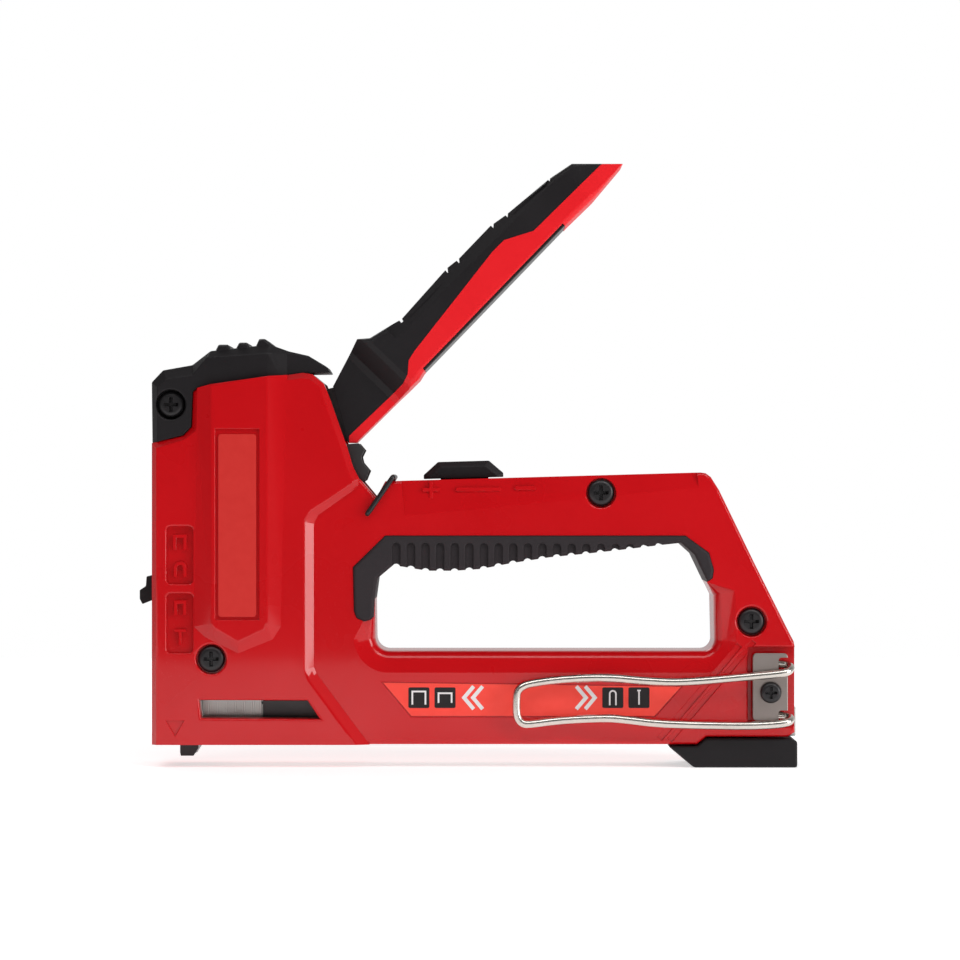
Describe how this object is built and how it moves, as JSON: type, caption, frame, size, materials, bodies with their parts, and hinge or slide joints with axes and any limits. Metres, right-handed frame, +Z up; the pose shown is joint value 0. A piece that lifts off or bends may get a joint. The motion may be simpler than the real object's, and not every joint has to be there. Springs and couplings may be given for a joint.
{
  "type": "hand staple gun",
  "caption": "Heavy-duty hand staple gun with a die-cast two-shell body, hand opening, open squeeze lever, slide-out magazine and side belt hook.",
  "frame": {"origin": "centre of the flat lower face of the nose tip, in the plane of the housing seam", "axes": "+X from the nose to the rear of the magazine, +Z up, -Y towards the side with the belt hook"},
  "size_m": [0.1924, 0.0344, 0.1755],
  "materials": {
    "red_paint": "high-gloss red enamel on die-cast metal",
    "red_plastic": "semi-gloss moulded red",
    "black_plastic": "fine-textured moulded black",
    "grip_rubber": "matt moulded rubber",
    "black_steel": "black-oxide steel",
    "dark_steel": "oiled dark spring steel",
    "bright_steel": "bright zinc-plated steel",
    "nickel": "satin nickel plate",
    "label_red": "satin printed film, no lettering"
  },
  "bodies": {
    "body": {"housing_near": "red_paint", "housing_far": "red_paint", "top_bumper": "black_plastic", "bumper_screw": "black_steel", "housing_screws": "black_steel", "grip_insert": "grip_rubber", "lever_pivot_pin": "bright_steel", "lever_return_spring": "bright_steel", "rocker_pin": "bright_steel", "main_spring": "dark_steel", "spring_seat": "dark_steel", "shock_bumper": "grip_rubber", "front_plate": "bright_steel", "nose_piece": "black_plastic", "magazine_channel": "bright_steel", "staple_strip": "bright_steel", "belt_hook": "nickel", "hook_bracket": "nickel", "hook_screw": "black_steel", "nameplate_near": "label_red", "nameplate_far": "label_red", "side_label_near": "label_red", "side_label_far": "label_red"},
    "lever": {"lever_shell": "red_plastic", "lever_overmould": "black_plastic", "lever_core": "dark_steel"},
    "rocker": {"cocking_rocker": "black_steel"},
    "striker": {"striker_carrier": "bright_steel", "driver_blade": "bright_steel"},
    "knob": {"power_knob": "black_plastic", "power_adjust_slide": "bright_steel"},
    "selector": {"staple_selector": "black_plastic"},
    "magazine": {"magazine_rail": "bright_steel", "pusher_rod": "bright_steel", "magazine_foot": "black_plastic", "magazine_latch": "bright_steel", "pusher_spring": "bright_steel"},
    "pusher": {"pusher": "dark_steel"},
    "bail": {"lock_bail": "black_steel"}
  },
  "joints": [
    {"name": "lever_pivot", "type": "hinge", "parent": "body", "child": "lever", "pos_m": [0.0351, 0, 0.1008], "axis": [0, 1, 0], "range_deg": [0, 40], "stiffness_Nm_per_rad": 4},
    {"name": "rocker_pivot", "type": "hinge", "parent": "body", "child": "rocker", "pos_m": [0.0415, 0, 0.0795], "axis": [0, 1, 0], "range_deg": [0, 25.1]},
    {"name": "striker_slide", "type": "slide", "parent": "body", "child": "striker", "axis": [0, 0, 1], "range_m": [0, 0.014], "deforming": ["main_spring"]},
    {"name": "power_knob_slide", "type": "slide", "parent": "body", "child": "knob", "axis": [0.9996, 0, 0.0279], "range_m": [-0.006, 0.01]},
    {"name": "staple_selector_slide", "type": "slide", "parent": "body", "child": "selector", "axis": [0, 0, 1], "range_m": [-0.006, 0.006]},
    {"name": "magazine_slide", "type": "slide", "parent": "body", "child": "magazine", "axis": [1, 0, 0], "range_m": [0, 0.085]},
    {"name": "pusher_slide", "type": "slide", "parent": "magazine", "child": "pusher", "axis": [1, 0, 0], "range_m": [0, 0.085], "stiffness_N_per_m": 40, "springref_m": -0.03, "deforming": ["pusher_spring"]},
    {"name": "lock_bail_pivot", "type": "hinge", "parent": "body", "child": "bail", "pos_m": [0.0532, 0, 0.0707], "axis": [0, 1, 0], "range_deg": [-20, 0]}
  ],
  "couplings": [
    {"joint": "rocker_pivot", "follows": "lever_pivot", "ratio": 0.625},
    {"joint": "striker_slide", "follows": "lever_pivot", "m_per_rad": 0.02}
  ]
}
